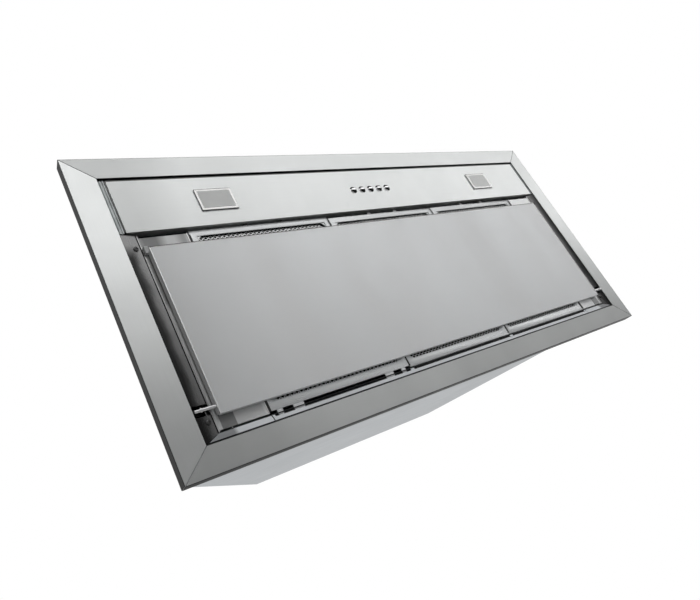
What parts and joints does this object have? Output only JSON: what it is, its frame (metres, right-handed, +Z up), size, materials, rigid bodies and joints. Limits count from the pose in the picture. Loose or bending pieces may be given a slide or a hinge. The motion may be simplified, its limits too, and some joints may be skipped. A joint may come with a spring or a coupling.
{
  "type": "range hood insert",
  "caption": "Stainless range hood insert with a mitred flange, light and button fascia, grease filters behind a drop-down perimeter panel, and a blower casing with a damper collar.",
  "frame": {"origin": "middle of the flange's underside, in the plane that shows below the cabinet", "axes": "+Z up into the cabinet, -Y towards the front with the lights and buttons, X along the width"},
  "size_m": [1.1, 0.508, 0.507],
  "materials": {
    "satin_steel": "satin, brushed along the width",
    "casing_steel": "plain mill finish",
    "galvanised": "dull zinc",
    "bright_steel": "polished",
    "bezel_metal": "satin bright",
    "screw_steel": "dark passivated",
    "aluminium": "satin",
    "aluminium_mesh": "expanded metal",
    "frosted_lens": "frosted",
    "black_plastic": "moulded",
    "grey_plastic": "moulded",
    "motor_paint": "semi-matt",
    "circuit_board": "laminate"
  },
  "bodies": {
    "hood": {"flange_front": "satin_steel", "flange_rear": "satin_steel", "flange_left": "satin_steel", "flange_right": "satin_steel", "casing_front": "casing_steel", "casing_rear": "casing_steel", "casing_left": "casing_steel", "casing_right": "casing_steel", "casing_top": "casing_steel", "duct_collar": "galvanised", "damper_pin": "bright_steel", "side_rail_left": "satin_steel", "side_rail_right": "satin_steel", "rear_rail": "satin_steel", "screw_front_left": "screw_steel", "screw_front_right": "screw_steel", "screw_rear_left": "screw_steel", "screw_rear_right": "screw_steel", "fascia": "satin_steel", "switch_housing": "black_plastic", "light_bezel_left": "bezel_metal", "light_bezel_right": "bezel_metal", "light_lens_left": "frosted_lens", "light_lens_right": "frosted_lens", "lamp_can_left": "galvanised", "lamp_can_right": "galvanised", "blanking_plate_left": "satin_steel", "blanking_plate_right": "satin_steel", "link_guide_left": "black_plastic", "link_guide_right": "black_plastic", "panel_magnet_left": "black_plastic", "panel_magnet_right": "black_plastic", "blower_scroll": "galvanised", "motor": "motor_paint", "motor_spider": "screw_steel", "control_box": "galvanised", "control_board": "circuit_board", "control_box_cover": "galvanised", "capacitor": "grey_plastic", "cable_gland": "black_plastic"},
    "filter_left": {"filter_frame_left": "aluminium", "filter_mesh_left": "aluminium_mesh"},
    "filter_middle": {"filter_frame_middle": "aluminium", "filter_mesh_middle": "aluminium_mesh"},
    "filter_right": {"filter_frame_right": "aluminium", "filter_mesh_right": "aluminium_mesh"},
    "panel_links": {"hinge_rod_left": "bright_steel", "hinge_rod_right": "bright_steel", "drop_link_left": "screw_steel", "drop_link_right": "screw_steel"},
    "panel": {"panel": "satin_steel", "panel_back": "galvanised"},
    "button_1": {"button_1": "bright_steel"},
    "button_2": {"button_2": "bright_steel"},
    "button_3": {"button_3": "bright_steel"},
    "button_4": {"button_4": "bright_steel"},
    "button_5": {"button_5": "bright_steel"},
    "impeller": {"impeller": "galvanised"},
    "damper_left": {"damper_leaf_left": "aluminium"},
    "damper_right": {"damper_leaf_right": "aluminium"}
  },
  "joints": [
    {"name": "panel_hinge", "type": "hinge", "parent": "panel_links", "child": "panel", "pos_m": [0, 0.17, 0.0006], "axis": [1, 0, 0], "range_deg": [0, 90]},
    {"name": "panel_drop", "type": "slide", "parent": "hood", "child": "panel_links", "axis": [0, 0, -1], "range_m": [0, 0.018]},
    {"name": "button_1_press", "type": "slide", "parent": "hood", "child": "button_1", "axis": [0, 0, 1], "range_m": [0, 0.002], "stiffness_N_per_m": 500, "springref_m": -0.001},
    {"name": "button_2_press", "type": "slide", "parent": "hood", "child": "button_2", "axis": [0, 0, 1], "range_m": [0, 0.002], "stiffness_N_per_m": 500, "springref_m": -0.001},
    {"name": "button_3_press", "type": "slide", "parent": "hood", "child": "button_3", "axis": [0, 0, 1], "range_m": [0, 0.002], "stiffness_N_per_m": 500, "springref_m": -0.001},
    {"name": "button_4_press", "type": "slide", "parent": "hood", "child": "button_4", "axis": [0, 0, 1], "range_m": [0, 0.002], "stiffness_N_per_m": 500, "springref_m": -0.001},
    {"name": "button_5_press", "type": "slide", "parent": "hood", "child": "button_5", "axis": [0, 0, 1], "range_m": [0, 0.002], "stiffness_N_per_m": 500, "springref_m": -0.001},
    {"name": "filter_left_slide", "type": "slide", "parent": "hood", "child": "filter_left", "axis": [0, 1, 0], "range_m": [0, 0.0035]},
    {"name": "filter_middle_slide", "type": "slide", "parent": "hood", "child": "filter_middle", "axis": [0, 1, 0], "range_m": [-0.003, 0.0005]},
    {"name": "filter_right_slide", "type": "slide", "parent": "hood", "child": "filter_right", "axis": [0, 1, 0], "range_m": [-0.003, 0.0005]},
    {"name": "impeller_spin", "type": "hinge", "parent": "hood", "child": "impeller", "pos_m": [0, -0.0794, 0.3], "axis": [1, 0, 0], "continuous": true},
    {"name": "damper_left_hinge", "type": "hinge", "parent": "hood", "child": "damper_left", "pos_m": [0, 0, 0.478], "axis": [0, 1, 0], "range_deg": [0, 75]},
    {"name": "damper_right_hinge", "type": "hinge", "parent": "hood", "child": "damper_right", "pos_m": [0, 0, 0.478], "axis": [0, -1, 0], "range_deg": [0, 75]}
  ],
  "couplings": [
    {"joint": "panel_drop", "follows": "panel_hinge", "m_per_rad": 0.01145}
  ]
}
